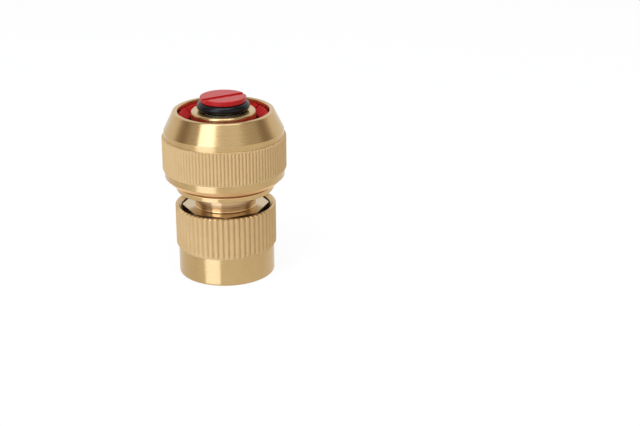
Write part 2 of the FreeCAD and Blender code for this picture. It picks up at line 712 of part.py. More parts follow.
def head_body():
    body = new_body("head_body")
    form = turned(body, "head", [
        ("head_thread_radius", "head_base_z"),
        ("bead_radius", "head_base_z"),
        ("bead_radius", "bead_top_z"),
        ("recess_radius", "bead_top_z"),
        ("recess_radius", "land_base_z"),
        ("land_radius", "land_base_z"),
        ("land_radius", "land_top_z"),
        ("barrel_radius", "land_top_z"),
        ("barrel_radius", "barrel_top_z"),
        ("barrel_bore_radius", "barrel_top_z"),
        ("barrel_bore_radius", "claw_floor_z"),
        ("inner_barrel_radius", "claw_floor_z"),
        ("inner_barrel_radius", "inner_barrel_top_z"),
        ("sleeve_guide_radius", "inner_barrel_top_z"),
        ("sleeve_guide_radius", "spider_base_z"),
        ("head_thread_radius", "spider_base_z"),
    ])
    edges = [("bead_radius", "head_base_z"), ("bead_radius", "bead_top_z")]
    rounded(body, "bead", form, edges, "bead_round")
    grooved(body, "clip_seat", [
        ("clip_groove_inner", "clip_groove_base_z"),
        ("clip_groove_radius", "clip_groove_base_z"),
        ("clip_groove_radius", "clip_groove_top_z"),
        ("clip_groove_inner", "clip_groove_top_z"),
    ])


def collar():
    body = new_body("collar")
    form = turned(body, "collar", [
        ("collar_bore_radius", "collar_base_z"),
        ("collar_foot_edge_radius", "collar_base_z"),
        ("collar_foot_radius", "collar_bevel_z"),
        ("collar_foot_radius", "collar_foot_z"),
        ("collar_knurl_radius", "collar_knurl_base_z"),
        ("collar_knurl_radius", "collar_knurl_top_z"),
        ("collar_cone_radius", "collar_step_z"),
        ("collar_cone_radius", "collar_cone_z"),
        ("collar_rim_radius", "collar_top_z"),
        ("collar_mouth_radius", "collar_top_z"),
        ("collar_mouth_radius", "collar_mouth_z"),
        ("collar_bore_radius", "collar_mouth_z"),
    ])
    rim = rounded(body, "collar_rim", form, [("collar_rim_radius", "collar_top_z")], "collar_rim_round")
    edges = [("collar_foot_edge_radius", "collar_base_z"), ("collar_mouth_radius", "collar_top_z")]
    rounded(body, "collar_edges", rim, edges, "collar_edge_round")
    grooved(body, "snap_seat", [
        ("snap_groove_inner", "snap_groove_base_z"),
        ("snap_groove_radius", "snap_groove_base_z"),
        ("snap_groove_radius", "snap_groove_top_z"),
        ("snap_groove_inner", "snap_groove_top_z"),
    ])
    knurled(body, "collar", "collar_root_radius", "collar_groove_outer", "collar_groove_width",
            "collar_teeth")


def claw_ring():
    body = new_body("claw_ring")
    turned(body, "claw", [
        ("claw_bore_radius", "claw_floor_z"),
        ("claw_base_radius", "claw_floor_z"),
        ("claw_base_radius", "claw_step_z"),
        ("claw_finger_radius", "claw_step_z"),
        ("claw_finger_radius", "claw_neck_z"),
        ("claw_head_radius", "claw_head_z"),
        ("claw_head_radius", "claw_bevel_z"),
        ("claw_bevel_radius", "claw_top_z"),
        ("claw_lead_radius", "claw_top_z"),
        ("claw_hook_radius", "claw_lead_z"),
        ("claw_hook_radius", "claw_hook_z"),
        ("claw_inside_radius", "claw_hook_foot_z"),
        ("claw_inside_radius", "claw_slot_z"),
        ("claw_bore_radius", "claw_slot_z"),
    ])
    outline = rectangle_sketch(body, "claw_slot_outline", "claw_slot_z",
                               "sleeve_radius", "collar_bore_radius", "claw_slot_width")
    slot = cut_upwards(body, "claw_slot", outline)
    repeated(body, "claw_slots", slot, "claw_count")
    body.Placement = FreeCAD.Placement(
        FreeCAD.Vector(0, 0, 0), FreeCAD.Rotation(FreeCAD.Vector(0, 0, 1), size("claw_slot_angle")))


def valve_sleeve():
    body = new_body("valve_sleeve")
    form = turned(body, "sleeve", [
        ("sleeve_bore_radius", "sleeve_base_z"),
        ("sleeve_radius", "sleeve_base_z"),
        ("sleeve_radius", "sleeve_groove_base_z"),
        ("sleeve_groove_radius", "sleeve_groove_base_z"),
        ("sleeve_groove_radius", "sleeve_groove_top_z"),
        ("sleeve_radius", "sleeve_groove_top_z"),
        ("sleeve_radius", "sleeve_top_z"),
        ("sleeve_bore_radius", "sleeve_top_z"),
    ])
    rounded(body, "sleeve_rim", form, [("sleeve_radius", "sleeve_top_z")], "sleeve_rim_round")


def valve_cap():
    body = new_body("valve_cap")
    form = turned(body, "cap", [
        ("thread_hole_radius", "cap_hub_z"),
        ("cap_hub_radius", "cap_hub_z"),
        ("cap_hub_radius", "cap_base_z"),
        ("cap_radius", "cap_base_z"),
        ("cap_radius", "cap_top_z"),
        ("zero", "cap_top_z"),
        ("zero", "cap_thread_top_z"),
        ("thread_hole_radius", "cap_thread_top_z"),
    ])
    rounded(body, "cap_top", form, [("cap_radius", "cap_top_z")], "cap_round")
    outline = slot_sketch(body, "cap_slot_outline", "cap_slot_z",
                          "ring_outer_radius", "cap_slot_near", "cap_slot_far")
    cut_upwards(body, "cap_slot", outline)
    body.Placement = FreeCAD.Placement(
        FreeCAD.Vector(0, 0, 0), FreeCAD.Rotation(FreeCAD.Vector(0, 0, 1), size("cap_slot_angle")))


def valve_stem():
    body = new_body("valve_stem")
    turned(body, "stem", [
        ("zero", "stem_base_z"),
        ("stem_thread_radius", "stem_base_z"),
        ("stem_thread_radius", "spider_top_z"),
        ("stem_radius", "spider_top_z"),
        ("stem_radius", "washer_base_z"),
        ("stem_thread_radius", "washer_base_z"),
        ("stem_thread_radius", "stem_top_z"),
        ("zero", "stem_top_z"),
    ])


def valve_washer():
    body = new_body("valve_washer")
    turned(body, "washer", [
        ("thread_hole_radius", "washer_base_z"),
        ("washer_foot_radius", "washer_base_z"),
        ("valve_washer_radius", "washer_chamfer_z"),
        ("valve_washer_radius", "cap_hub_z"),
        ("thread_hole_radius", "cap_hub_z"),
    ])


def stem_spider():
    body = new_body("stem_spider")
    turned(body, "spider_hub", [
        ("zero", "spider_base_z"),
        ("spider_hub_radius", "spider_base_z"),
        ("spider_hub_radius", "spider_top_z"),
        ("zero", "spider_top_z"),
    ])
    outline = rectangle_sketch(body, "spider_arm_outline", "spider_base_z",
                               "stem_thread_radius", "spider_arm_reach", "spider_arm_width")
    arm = padded(body, "spider_arm", outline, "spider_thickness")
    turned(body, "spider_rim", [
        ("spider_window_radius", "spider_base_z"),
        ("spider_radius", "spider_base_z"),
        ("spider_radius", "spider_top_z"),
        ("spider_window_radius", "spider_top_z"),
    ])
    repeated(body, "spider_arms", arm, "spider_arms")
    bored(body, "spider_bore", "thread_hole_radius")


def stem_nut():
    body = new_body("stem_nut")
    outline = polygon_sketch(body, "stem_nut_outline", "stem_nut_base_z", "stem_nut_radius",
                             "stem_nut_sides")
    padded(body, "stem_nut_hexagon", outline, "stem_nut_height")
    bored(body, "stem_nut_bore", "thread_hole_radius")


def clamping_ring():
    body = new_body("clamping_ring")
    turned(body, "grip", [
        ("grip_bore_radius", "grip_lift"),
        ("grip_foot_radius", "grip_lift"),
        ("grip_top_radius", "grip_cone_z"),
        ("grip_top_radius", "grip_top_z"),
        ("grip_bore_radius", "grip_top_z"),
    ])
    rib = turned(body, "grip_rib", [
        ("grip_rib_root", "grip_rib_base_z"),
        ("grip_rib_root", "grip_rib_top_z"),
        ("grip_rib_radius", "grip_rib_base_z"),
    ])
    stacked(body, "grip_ribs", rib, "grip_rib_span", "grip_rib_count")
    # the slots open downwards: the pocket starts under the closed ring at the top
    outline = rectangle_sketch(body, "grip_slot_outline", "grip_web_z",
                               "spigot_radius", "nut_plain_radius", "grip_slot_width")
    slot = body.newObject("PartDesign::Pocket", "grip_slot")
    slot.Profile = outline
    slot.Type = 1
    doc.recompute()
    repeated(body, "grip_slots", slot, "grip_fingers")


def build():
    fill_sheet()
    hose_nut()
    clamping_ring()
    tail_body()
    head_body()
    flat_ring("joint_seal", "joint_seal_bore", "joint_seal_radius", "stub_top_z", "joint_seal_thickness")
    stem_spider()
    stem_nut()
    valve_stem()
    valve_washer()
    round_ring("valve_o_ring", "ring_mean_radius", "ring_section_radius", "ring_z")
    valve_cap()
    claw_ring()
    split_wire_ring("claw_clip", "clip_radius", "clip_wire_radius", "clip_z", "wire_ring_angle")
    valve_sleeve()
    round_ring("sleeve_o_ring", "sleeve_ring_radius", "sleeve_ring_section", "sleeve_ring_z")
    coil_spring("sleeve_spring", "sleeve_spring_radius", "sleeve_spring_wire",
                "sleeve_spring_start_z", "sleeve_spring_rise", "sleeve_spring_turns")
    collar()
    split_wire_ring("collar_snap_ring", "snap_radius", "snap_wire_radius", "snap_z", "wire_ring_angle")
    flat_ring("spring_seat", "spring_seat_bore", "spring_seat_radius", "spring_seat_z",
              "spring_seat_thickness")
    coil_spring("collar_spring", "collar_spring_radius", "collar_spring_wire",
                "collar_spring_start_z", "collar_spring_rise", "collar_spring_turns")
    doc.recompute()


NODES = [
    "hose_nut", "clamping_ring", "tail_body", "head_body", "joint_seal", "stem_spider", "stem_nut",
    "valve_stem", "valve_washer", "valve_o_ring", "valve_cap", "claw_ring", "claw_clip",
    "valve_sleeve", "sleeve_o_ring", "sleeve_spring", "collar", "collar_snap_ring", "spring_seat",
    "collar_spring",
]


def check():
    for item in doc.Objects:
        if "Invalid" in item.State or "Error" in item.State:
            raise RuntimeError(f"{item.Label} failed: {item.State}")
    for name in NODES:
        shape = doc.getObjectsByLabel(name)[0].Shape
        if shape.isNull() or not shape.isValid():
            raise RuntimeError(name + " has no valid shape")


def export():
    os.makedirs("parts", exist_ok=True)
    for name in NODES:
        shape = doc.getObjectsByLabel(name)[0].Shape
        shape.exportStep(f"parts/{name}.step")
        print(f"{name:18s} {len(shape.Solids)} solid {shape.Volume / 1000:8.3f} cm3"
              f" {len(shape.Faces):5d} faces")


build()
check()
export()
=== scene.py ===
import bmesh
import bpy
import json
import math
from mathutils import Matrix, Vector


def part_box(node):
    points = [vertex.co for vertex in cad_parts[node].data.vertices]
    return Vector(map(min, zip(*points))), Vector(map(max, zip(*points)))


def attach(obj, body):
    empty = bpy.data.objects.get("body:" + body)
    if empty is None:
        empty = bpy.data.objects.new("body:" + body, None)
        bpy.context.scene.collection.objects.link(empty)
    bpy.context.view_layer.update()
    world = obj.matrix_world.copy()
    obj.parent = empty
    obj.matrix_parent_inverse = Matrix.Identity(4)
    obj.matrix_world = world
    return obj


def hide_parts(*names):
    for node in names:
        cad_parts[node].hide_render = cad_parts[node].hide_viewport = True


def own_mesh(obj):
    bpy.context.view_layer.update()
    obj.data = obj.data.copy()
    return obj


# A brass quick coupling for garden hose, dressed for rendering. The frame gives each piece's place,
# height and outer radius, the dictionaries hold what a user would change. Their lengths are millimetres,
# and a height is counted up from the piece's own foot unless its name ends in Depth.

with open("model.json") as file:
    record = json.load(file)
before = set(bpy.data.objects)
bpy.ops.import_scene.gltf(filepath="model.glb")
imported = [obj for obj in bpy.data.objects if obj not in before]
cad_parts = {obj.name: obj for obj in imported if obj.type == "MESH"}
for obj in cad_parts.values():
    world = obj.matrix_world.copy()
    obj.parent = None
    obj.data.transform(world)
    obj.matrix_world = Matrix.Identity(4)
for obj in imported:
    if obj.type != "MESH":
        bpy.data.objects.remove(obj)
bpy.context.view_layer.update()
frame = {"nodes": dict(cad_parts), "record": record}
mm = 0.001


def boxOf(node):
    # lowest height, highest height and outer radius of a node, in millimetres
    low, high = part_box(node)
    return low.z / mm, high.z / mm, (high.x - low.x) / 2 / mm


# Nodes and colours

def hexColor(code):
    # an sRGB hex colour as linear values
    values = [int(code[i:i + 2], 16) / 255 for i in (1, 3, 5)]
    linear = [v / 12.92 if v <= 0.04045 else ((v + 0.055) / 1.055) ** 2.4 for v in values]
    return (*linear, 1.0)


def addNode(tree, kind, settings=None, inputs=None):
    # one node with its settings; an input that is a socket is linked, any other value is set
    node = tree.nodes.new(kind)
    for name, value in (settings or {}).items():
        setattr(node, name, value)
    for name, value in (inputs or {}).items():
        socket = node.inputs[name]
        if isinstance(value, bpy.types.NodeSocket):
            tree.links.new(value, socket)
        else:
            socket.default_value = value
    return node


def newMaterial(name):
    material = bpy.data.materials.new(name)
    material.use_nodes = True
    material.node_tree.nodes.clear()
    return material, material.node_tree


def closeMaterial(tree, inputs):
    # the Principled shader and the output that end every finish of the object
    surface = addNode(tree, "ShaderNodeBsdfPrincipled", {}, inputs)
    addNode(tree, "ShaderNodeOutputMaterial", {}, {"Surface": surface.outputs["BSDF"]})


def turningCoordinates(tree, step):
    # radius and height in units of step, so that a pattern runs round the axis like a tool mark
    place = addNode(tree, "ShaderNodeTexCoord").outputs["Object"]
    parts = addNode(tree, "ShaderNodeSeparateXYZ", {}, {"Vector": place})
    flat = addNode(tree, "ShaderNodeCombineXYZ", {}, {"X": parts.outputs["X"], "Y": parts.outputs["Y"]})
    radius = addNode(tree, "ShaderNodeVectorMath", {"operation": "LENGTH"}, {0: flat.outputs["Vector"]})
    rings = addNode(tree, "ShaderNodeCombineXYZ", {},
                    {"X": radius.outputs["Value"], "Y": parts.outputs["Z"]})
    scaled = addNode(tree, "ShaderNodeVectorMath", {"operation": "SCALE"},
                     {0: rings.outputs["Vector"], "Scale": 1 / (step * mm)})
    return place, scaled.outputs["Vector"]


# Finishes

# bar turned with an ordinary feed: a satin gold whose highlights run out along the tool marks
satinBrassLook = {
    "base": "#c8aa79",
    "deep": "#bd9c69",
    "roughness": 0.27,
    "roughSwing": 0.02,
    "anisotropy": 0.92,
    "toolMark": 0.22,      # mm between tool marks, coarser than the real 0.05 mm so that they show
    "markDepth": 0.0013,   # mm
    "tarnish": 4.0,        # mm, size of the faint patches of tone
}

# a finer last cut: the same gold with crisper, brighter streaks
brightBrassLook = {**satinBrassLook, "roughness": 0.2, "markDepth": 0.001}

# a finer cut with a paler, nearly straw base colour: painted light for parts that face open light
paintedLightBrassLook = {**brightBrassLook, "base": "#c6b38e", "deep": "#bda680"}

# a finer cut with a warmer, fuller base colour: a painted reflection of the brass that a corner mirrors
paintedReflectionBrassLook = {**brightBrassLook, "base": "#e8c597", "deep": "#e0ba8a"}

# an undercut: a rougher finish with a brighter, warm base colour, a painted reflection of the mirrored
# brass blurred into one soft tone
paintedUndercutReflectionBrassLook = {
    **paintedReflectionBrassLook,
    "base": "#f0c68e",
    "deep": "#e8bb80",
    "roughness": 0.5,
    "anisotropy": 0.0,
}

# a knurl pressed in by a wheel: no tool marks, and a crushed skin that spreads the light evenly; its
# paler base colour is painted light that lifts the shade in the grooves
rolledPaintedLightBrassLook = {
    **satinBrassLook,
    "base": "#dac295",
    "deep": "#d2b88a",
    "roughness": 0.85,
    "anisotropy": 0.0,
    "markDepth": 0.0,
}


def turnedBrass(name, look):
    # CuZn brass bar turned on a lathe: fine marks run round the axis and draw each highlight out
    material, tree = newMaterial(name)
    place, rings = turningCoordinates(tree, look["toolMark"])
    marks = addNode(tree, "ShaderNodeTexNoise", {},
                    {"Vector": rings, "Scale": 1.0, "Detail": 3.0, "Roughness": 0.6})
    patches = addNode(tree, "ShaderNodeTexNoise", {},
                      {"Vector": place, "Scale": 1 / (look["tarnish"] * mm),
                       "Detail": 3.0, "Roughness": 0.55})
    tone = addNode(tree, "ShaderNodeMix", {"data_type": "RGBA"},
                   {"Factor": patches.outputs["Fac"],
                    "A": hexColor(look["deep"]), "B": hexColor(look["base"])})
    rough = addNode(tree, "ShaderNodeMapRange", {},
                    {"Value": marks.outputs["Fac"], "From Min": 0.3, "From Max": 0.7,
                     "To Min": look["roughness"] - look["roughSwing"],
                     "To Max": look["roughness"] + look["roughSwing"]})
    relief = addNode(tree, "ShaderNodeBump", {},
                     {"Height": marks.outputs["Fac"], "Distance": look["markDepth"] * mm,
                      "Strength": 1.0})
    around = addNode(tree, "ShaderNodeTangent", {"direction_type": "RADIAL", "axis": "Z"})
    closeMaterial(tree, {"Base Color": tone.outputs["Result"], "Metallic": 1.0,
                         "Roughness": rough.outputs["Result"],
                         "Anisotropic": look["anisotropy"], "Anisotropic Rotation": 0.25,
                         "Tangent": around.outputs["Tangent"], "Normal": relief.outputs["Normal"]})
    return material


# ABS from a polished mould: an even, deep red with a small, clear highlight
glossyRedLook = {
    "base": "#ae120d",
    "deep": "#a00b08",
    "roughness": 0.3,
    "ior": 1.31,           # ABS has 1.54, which gives more sheen than the cap shows
    "orangePeel": 0.9,     # mm, waviness of the moulded skin
    "peelDepth": 0.004,    # mm
}

# ABS from an etched mould: the same red, nearly without sheen
satinRedLook = {**glossyRedLook, "roughness": 0.6, "ior": 1.2}


def redPlastic(name, look):
    # injection-moulded ABS, coloured through, with the slight waves of a skin that shrank in its mould
    material, tree = newMaterial(name)
    place = addNode(tree, "ShaderNodeTexCoord").outputs["Object"]
    skin = addNode(tree, "ShaderNodeTexNoise", {},
                   {"Vector": place, "Scale": 1 / (look["orangePeel"] * mm),
                    "Detail": 2.0, "Roughness": 0.5})
    tone = addNode(tree, "ShaderNodeMix", {"data_type": "RGBA"},
                   {"Factor": skin.outputs["Fac"],
                    "A": hexColor(look["deep"]), "B": hexColor(look["base"])})
    relief = addNode(tree, "ShaderNodeBump", {},
                     {"Height": skin.outputs["Fac"], "Distance": look["peelDepth"] * mm,
                      "Strength": 1.0})
    closeMaterial(tree, {"Base Color": tone.outputs["Result"], "Roughness": look["roughness"],
                         "IOR": look["ior"], "Normal": relief.outputs["Normal"]})
    return material


rubberLook = {
    "base": "#060707",
    "dust": "#101111",
    "roughness": 0.27,
    "ior": 1.3,            # nitrile rubber has 1.52, which gives more sheen than the ring shows
    "grain": 0.35,         # mm, fine moulded grain
    "grainDepth": 0.006,   # mm
}


def blackNitrileRubber(look):
    # moulded nitrile rubber: near black, a soft broad sheen, a little talc dust in its grain
    material, tree = newMaterial("blackNitrileRubber")
    place = addNode(tree, "ShaderNodeTexCoord").outputs["Object"]
    grain = addNode(tree, "ShaderNodeTexNoise", {},
                    {"Vector": place, "Scale": 1 / (look["grain"] * mm),
                     "Detail": 4.0, "Roughness": 0.6})
    speck = addNode(tree, "ShaderNodeMapRange", {},
                    {"Value": grain.outputs["Fac"], "From Min": 0.5, "From Max": 0.8})
    tone = addNode(tree, "ShaderNodeMix", {"data_type": "RGBA"},
                   {"Factor": speck.outputs["Result"],
                    "A": hexColor(look["base"]), "B": hexColor(look["dust"])})
    relief = addNode(tree, "ShaderNodeBump", {},
                     {"Height": grain.outputs["Fac"], "Distance": look["grainDepth"] * mm,
                      "Strength": 1.0})
    closeMaterial(tree, {"Base Color": tone.outputs["Result"], "Roughness": look["roughness"],
                         "IOR": look["ior"], "Normal": relief.outputs["Normal"]})
    return material


steelLook = {
    "base": "#b9babb",
    "deep": "#8f9092",
    "roughness": 0.3,
    "roughSwing": 0.06,
    "drawMark": 0.5,       # mm
}


def drawnSpringSteel(look):
    # stainless wire drawn through a die, and turned steel: grey, bright, faint marks
    material, tree = newMaterial("drawnSpringSteel")
    place = addNode(tree, "ShaderNodeTexCoord").outputs["Object"]
    marks = addNode(tree, "ShaderNodeTexNoise", {},
                    {"Vector": place, "Scale": 1 / (look["drawMark"] * mm),
                     "Detail": 4.0, "Roughness": 0.6})
    tone = addNode(tree, "ShaderNodeMix", {"data_type": "RGBA"},
                   {"Factor": marks.outputs["Fac"],
                    "A": hexColor(look["deep"]), "B": hexColor(look["base"])})
    rough = addNode(tree, "ShaderNodeMapRange", {},
                    {"Value": marks.outputs["Fac"], "From Min": 0.3, "From Max": 0.7,
                     "To Min": look["roughness"] - look["roughSwing"],
                     "To Max": look["roughness"] + look["roughSwing"]})
    closeMaterial(tree, {"Base Color": tone.outputs["Result"], "Metallic": 1.0,
                         "Roughness": rough.outputs["Result"]})
    return material


whitePlasticLook = {
    "base": "#e6e3d9",
    "deep": "#d9d5c8",
    "roughness": 0.45,
    "ior": 1.48,
    "grain": 0.7,          # mm
    "grainDepth": 0.004,   # mm
}


def whiteAcetal(look):
    # moulded acetal: milky white, waxy, slightly uneven skin
    material, tree = newMaterial("whiteAcetal")
    place = addNode(tree, "ShaderNodeTexCoord").outputs["Object"]
    grain = addNode(tree, "ShaderNodeTexNoise", {},
                    {"Vector": place, "Scale": 1 / (look["grain"] * mm),
                     "Detail": 3.0, "Roughness": 0.5})
    tone = addNode(tree, "ShaderNodeMix", {"data_type": "RGBA"},
                   {"Factor": grain.outputs["Fac"],
                    "A": hexColor(look["deep"]), "B": hexColor(look["base"])})
    relief = addNode(tree, "ShaderNodeBump", {},
                     {"Height": grain.outputs["Fac"], "Distance": look["grainDepth"] * mm,
                      "Strength": 1.0})
    closeMaterial(tree, {"Base Color": tone.outputs["Result"], "Roughness": look["roughness"],
                         "IOR": look["ior"], "Normal": relief.outputs["Normal"]})
    return material


brass = turnedBrass("satinTurnedBrass", satinBrassLook)
brightBrass = turnedBrass("brightTurnedBrass", brightBrassLook)
paintedLightBrass = turnedBrass("paintedLightTurnedBrass", paintedLightBrassLook)
paintedReflectionBrass = turnedBrass("paintedReflectionTurnedBrass", paintedReflectionBrassLook)
paintedUndercutReflectionBrass = turnedBrass("paintedUndercutReflectionTurnedBrass", paintedUndercutReflectionBrassLook)
rolledPaintedLightBrass = turnedBrass("rolledKnurlPaintedLightBrass", rolledPaintedLightBrassLook)
glossyRed = redPlastic("glossyRedPlastic", glossyRedLook)
satinRed = redPlastic("satinRedPlastic", satinRedLook)
rubber = blackNitrileRubber(rubberLook)
steel = drawnSpringSteel(steelLook)
whitePlastic = whiteAcetal(whitePlasticLook)
finishes = {"brass": brass, "red_plastic": glossyRed, "black_rubber": rubber,
            "spring_steel": steel, "white_plastic": whitePlastic}
print("finishes made:", len(finishes))


# Pieces

sharpAngle = math.radians(38)   # a fold above this shades as an edge
bandMargin = 0.1                # mm, how far a band's limits lie beside its faces


def newPiece(name, mesh):
    piece = bpy.data.objects.new(name, mesh)
    bpy.context.scene.collection.objects.link(piece)
    return piece


def plainMesh(piece):
    # what the modifiers make of the piece becomes its own mesh
    graph = bpy.context.evaluated_depsgraph_get()
    mesh = bpy.data.meshes.new_from_object(piece.evaluated_get(graph))
    piece.modifiers.clear()
    piece.data = mesh


def joinInto(piece, other):
    # the other mesh is added to the piece's, and the other object goes
    bm = bmesh.new()
    bm.from_mesh(piece.data)
    bm.from_mesh(other.data)
    bm.to_mesh(piece.data)
    bm.free()
    bpy.data.objects.remove(other)


def turnMesh(piece, degrees):
    piece.data.transform(Matrix.Rotation(math.radians(degrees), 4, "Z"))


def coatBand(piece, material, low, high, inner, outer=math.inf):
    # another finish on the faces between two heights and two radii, in millimetres
    index = piece.data.materials.find(material.name)
    if index < 0:
        index = len(piece.data.materials)
        piece.data.materials.append(material)
    for face in piece.data.polygons:
        middle = face.center / mm
        if low < middle.z < high and inner < math.hypot(middle.x, middle.y) < outer:
            face.material_index = index


def dress(piece, material, body, slotName, *nodes):
    # finish, shading, body and the nodes that the piece stands for
    if not piece.data.materials:
        piece.data.materials.append(material)
    piece.data.shade_smooth()
    piece.data.set_sharp_from_angle(angle=sharpAngle)
    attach(piece, body)
    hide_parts(*nodes)
    print("piece", piece.name, "faces", len(piece.data.polygons))


# Turned forms

softEdge = 0.08         # mm, the broken edge of every turned corner that gives no round of its own
shoulderLength = 0.05   # mm, straight stretch beside each round, so that flat faces shade flat
roundStep = 20          # degrees of a round that one face covers
roundShare = 0.45       # of a side's length, the most that a round may take of it
straight = math.radians(89.9)   # half a corner above this is no corner
tiny = 1e-6


def easedOutline(corners):
    # rounds each corner (radius, height, round) of a closed outline that runs up outside, down inside
    count = len(corners)
    places = [Vector(corner[:2]) for corner in corners]
    rounds = [corner[2] if len(corner) > 2 else softEdge for corner in corners]
    backs = [places[i - 1] - places[i] for i in range(count)]
    aheads = [places[(i + 1) % count] - places[i] for i in range(count)]
    halves = [back.angle(ahead) / 2 for back, ahead in zip(backs, aheads)]
    setbacks = []
    for wanted, back, ahead, half in zip(rounds, backs, aheads, halves):
        most = roundShare * min(back.length, ahead.length)
        setbacks.append(min(wanted / math.tan(half) if half < straight else 0.0, most))
    outline = []
    for i, (place, half, setback) in enumerate(zip(places, halves, setbacks)):
        if setback < tiny:
            outline.append(place)
            continue
        roomBack = backs[i].length - setback - setbacks[i - 1]
        roomAhead = aheads[i].length - setback - setbacks[(i + 1) % count]
        back = backs[i].normalized()
        ahead = aheads[i].normalized()
        if roomBack > 4 * shoulderLength:
            outline.append(place + back * (setback + shoulderLength))
        radius = setback * math.tan(half)
        centre = place + (back + ahead).normalized() * (radius / math.sin(half))
        start = place + back * setback - centre
        end = place + ahead * setback - centre
        sweep = start.angle_signed(end)
        steps = max(2, round(abs(math.degrees(sweep)) / roundStep))
        for step in range(steps + 1):
            turn = -sweep * step / steps
            outline.append(centre + Vector((start.x * math.cos(turn) - start.y * math.sin(turn),
                                            start.x * math.sin(turn) + start.y * math.cos(turn))))
        if roomAhead > 4 * shoulderLength:
            outline.append(place + ahead * (setback + shoulderLength))
    return [(p.x, p.y) for p in outline]


def evenAngles(count):
    return [2 * math.pi * i / count for i in range(count)]


def spunMesh(name, outline, angles, reach=None, whole=True):
    # the outline carried through the angles; reach(radius, angle) may pull a point inwards, and a point
    # on the axis is one vertex
    vertices = []
    index = {}
    for i, (radius, height) in enumerate(outline):
        for j, angle in enumerate(angles):
            key = (i, 0 if radius < tiny else j)
            if key not in index:
                index[key] = len(vertices)
                shown = (reach(radius, angle) if reach else radius) * mm
                vertices.append((shown * math.cos(angle), shown * math.sin(angle), height * mm))
            index[(i, j)] = index[key]
    faces = []
    rows = len(outline)
    columns = len(angles)
    for i in range(rows):
        after = (i + 1) % rows
        for j in range(columns if whole else columns - 1):
            beside = (j + 1) % columns
            ring = [index[(i, j)], index[(i, beside)], index[(after, beside)], index[(after, j)]]
            corners = list(dict.fromkeys(ring))
            if len(corners) > 2:
                faces.append(corners)
    mesh = bpy.data.meshes.new(name)
    mesh.from_pydata(vertices, [], faces)
    mesh.validate()
    return newPiece(name, mesh)


# Repeating round the axis

def aroundAxisTree():
    # one sector of a piece, set round the axis and joined to its neighbours
    tree = bpy.data.node_groups.new("aroundAxis", "GeometryNodeTree")
    sides = tree.interface
    sides.new_socket("Sector", in_out="INPUT", socket_type="NodeSocketGeometry")
    sides.new_socket("Count", in_out="INPUT", socket_type="NodeSocketInt")
    sides.new_socket("Join Distance", in_out="INPUT", socket_type="NodeSocketFloat")
    sides.new_socket("Finish", in_out="INPUT", socket_type="NodeSocketMaterial")
    sides.new_socket("Geometry", in_out="OUTPUT", socket_type="NodeSocketGeometry")
    given = addNode(tree, "NodeGroupInput")
    turn = addNode(tree, "ShaderNodeMath", {"operation": "DIVIDE"},
                   {0: 2 * math.pi, 1: given.outputs["Count"]})
    number = addNode(tree, "GeometryNodeInputIndex")
    angle = addNode(tree, "ShaderNodeMath", {"operation": "MULTIPLY"},
                    {0: number.outputs["Index"], 1: turn.outputs["Value"]})
    spin = addNode(tree, "ShaderNodeCombineXYZ", {}, {"Z": angle.outputs["Value"]})
    stations = addNode(tree, "GeometryNodePoints", {}, {"Count": given.outputs["Count"]})
    copies = addNode(tree, "GeometryNodeInstanceOnPoints", {},
                     {"Points": stations.outputs["Points"], "Instance": given.outputs["Sector"],
                      "Rotation": spin.outputs["Vector"]})
    real = addNode(tree, "GeometryNodeRealizeInstances", {}, {"Geometry": copies.outputs["Instances"]})
    joined = addNode(tree, "GeometryNodeMergeByDistance", {},
                     {"Geometry": real.outputs["Geometry"], "Distance": given.outputs["Join Distance"]})
    finished = addNode(tree, "GeometryNodeSetMaterial", {},
                       {"Geometry": joined.outputs["Geometry"], "Material": given.outputs["Finish"]})
    addNode(tree, "NodeGroupOutput", {}, {"Geometry": finished.outputs["Geometry"]})
    return tree


aroundAxis = aroundAxisTree()


def socketName(tree, label):
    return next(item.identifier for item in tree.interface.items_tree
                if item.item_type == "SOCKET" and item.in_out == "INPUT" and item.name == label)


def repeatAround(piece, count, material, joinDistance=0.002):
    # the sector becomes the whole ring; the join distance is in mm
    modifier = piece.modifiers.new("aroundAxis", "NODES")
    modifier.node_group = aroundAxis
    modifier[socketName(aroundAxis, "Count")] = count
    modifier[socketName(aroundAxis, "Join Distance")] = joinDistance * mm
    modifier[socketName(aroundAxis, "Finish")] = material
    plainMesh(piece)


def knurledPiece(name, outline, crest, form):
    # a turned piece with a straight knurl: one tooth, a plain crest with half a V groove at each side, is
    # repeated, and the ring is turned so that its first groove lies on the X axis
    half = math.pi / form["teeth"]
    steps = form["toothSteps"]

    def reach(radius, angle):
        offCrest = abs(angle) / half
        fall = max(0.0, (offCrest - form["crestShare"]) / (1 - form["crestShare"]))
        return min(radius, crest - form["toothDepth"] * fall)

    angles = [half * (2 * i / steps - 1) for i in range(steps + 1)]
    piece = spunMesh(name, outline, angles, reach, whole=False)
    repeatAround(piece, form["teeth"], brass)
    turnMesh(piece, 180 / form["teeth"])
    return piece


# Collar

collarForm = {
    "footEdge": 15.0, "footEdgeRound": 0.15, "footRadius": 16.47, "footBevel": 1.47, "footHeight": 3.25,
    "knurlStart": 3.75, "knurlEnd": 12.6,
    "coneRadius": 16.4, "landStart": 12.75, "landRound": 0.05, "coneStart": 14.4, "coneRound": 0.12,
    "rimRadius": 13.75, "rimRound": 0.4,
    "mouthRadius": 12.5, "mouthRound": 0.25, "mouthDepth": 5.5, "mouthBandDepth": 0.2,
    "boreRadius": 14.4, "snapGrooveLow": 3.35, "snapGrooveHigh": 4.25, "snapGrooveRadius": 14.8,
    "teeth": 108, "toothDepth": 0.35, "toothSteps": 8, "crestShare": 0.39,
}


